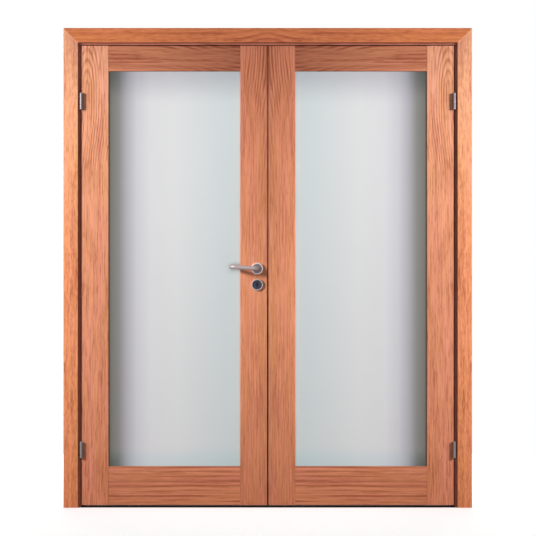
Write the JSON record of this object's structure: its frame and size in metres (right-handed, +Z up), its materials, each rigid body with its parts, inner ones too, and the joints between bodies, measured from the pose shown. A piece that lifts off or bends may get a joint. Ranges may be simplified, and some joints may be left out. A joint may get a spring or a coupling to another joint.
{
  "type": "glazed french doors with frame",
  "caption": "Pair of timber doors with frosted glass panes, hung on butt hinges in a rebated, cased frame, with a lever lock on one leaf and flush bolts on the other.",
  "frame": {"origin": "on the floor, in the middle of the opening's width and of the frame's depth", "axes": "+X to the right seen from the front, +Y from the front to the back, +Z up"},
  "size_m": [1.814, 0.159, 2.13],
  "materials": {
    "frame_oak": "satin lacquered veneer",
    "leaf_oak": "satin lacquered veneer",
    "dowel_beech": "bare",
    "frosted_glass": "satin etched",
    "glazing_rubber": "matt",
    "seal_rubber": "matt",
    "hinge_steel": "satin",
    "satin_stainless": "satin brushed",
    "dark_steel": "dark satin",
    "lock_steel": "plain",
    "screw_steel": "zinc plated",
    "nylon": "matt",
    "dark_threshold": "dark anodised"
  },
  "bodies": {
    "frame": {"left_jamb": "frame_oak", "right_jamb": "frame_oak", "head_jamb": "frame_oak", "threshold": "dark_threshold", "left_casing": "frame_oak", "right_casing": "frame_oak", "head_casing": "frame_oak", "left_stop_seal": "seal_rubber", "right_stop_seal": "seal_rubber", "head_stop_seal": "seal_rubber", "left_upper_frame_hinge": "hinge_steel", "left_lower_frame_hinge": "hinge_steel", "right_upper_frame_hinge": "hinge_steel", "right_lower_frame_hinge": "hinge_steel", "hinge_pins": "hinge_steel", "frame_screws": "screw_steel", "bolt_keep": "lock_steel"},
    "left_leaf": {"left_hinge_stile": "leaf_oak", "left_lock_stile": "leaf_oak", "left_top_rail": "leaf_oak", "left_bottom_rail": "leaf_oak", "left_glass": "frosted_glass", "left_glazing_seals": "glazing_rubber", "left_glazing_beads": "leaf_oak", "left_dowels": "dowel_beech", "left_upper_leaf_hinge": "hinge_steel", "left_lower_leaf_hinge": "hinge_steel", "left_leaf_screws": "screw_steel", "lock_case": "lock_steel", "lock_faceplate": "lock_steel", "front_rose": "satin_stainless", "back_rose": "satin_stainless", "rose_bases": "nylon", "front_escutcheon": "satin_stainless", "back_escutcheon": "satin_stainless", "keyhole_plates": "dark_steel"},
    "lever": {"front_lever": "satin_stainless", "back_lever": "satin_stainless", "spindle": "lock_steel", "follower": "lock_steel", "grub_screws": "screw_steel"},
    "latch": {"latch_bolt": "lock_steel"},
    "deadbolt": {"dead_bolt": "lock_steel"},
    "right_leaf": {"right_hinge_stile": "leaf_oak", "right_meeting_stile": "leaf_oak", "right_top_rail": "leaf_oak", "right_bottom_rail": "leaf_oak", "right_glass": "frosted_glass", "right_glazing_seals": "glazing_rubber", "right_glazing_beads": "leaf_oak", "right_dowels": "dowel_beech", "right_upper_leaf_hinge": "hinge_steel", "right_lower_leaf_hinge": "hinge_steel", "right_leaf_screws": "screw_steel", "strike_plate": "lock_steel", "meeting_seal": "seal_rubber", "flush_bolt_plates": "lock_steel"},
    "upper_bolt": {"upper_flush_bolt": "lock_steel"},
    "lower_bolt": {"lower_flush_bolt": "lock_steel"}
  },
  "joints": [
    {"name": "left_swing", "type": "hinge", "parent": "frame", "child": "left_leaf", "pos_m": [-0.8285, -0.055, 1.0315], "axis": [0, 0, -1], "range_deg": [0, 170]},
    {"name": "right_swing", "type": "hinge", "parent": "frame", "child": "right_leaf", "pos_m": [0.8285, -0.055, 1.0315], "axis": [0, 0, 1], "range_deg": [0, 170]},
    {"name": "lever_turn", "type": "hinge", "parent": "left_leaf", "child": "lever", "pos_m": [-0.047, -0.026, 1.062], "axis": [0, -1, 0], "range_deg": [0, 40], "stiffness_Nm_per_rad": 1.2, "springref_deg": -28.65},
    {"name": "latch_slide", "type": "slide", "parent": "left_leaf", "child": "latch", "axis": [1, 0, 0], "range_m": [0, 0.011]},
    {"name": "dead_bolt_slide", "type": "slide", "parent": "left_leaf", "child": "deadbolt", "axis": [1, 0, 0], "range_m": [0, 0.014]},
    {"name": "upper_bolt_slide", "type": "slide", "parent": "right_leaf", "child": "upper_bolt", "axis": [0, 0, 1], "range_m": [0, 0.012]},
    {"name": "lower_bolt_slide", "type": "slide", "parent": "right_leaf", "child": "lower_bolt", "axis": [0, 0, -1], "range_m": [0, 0.01]}
  ]
}
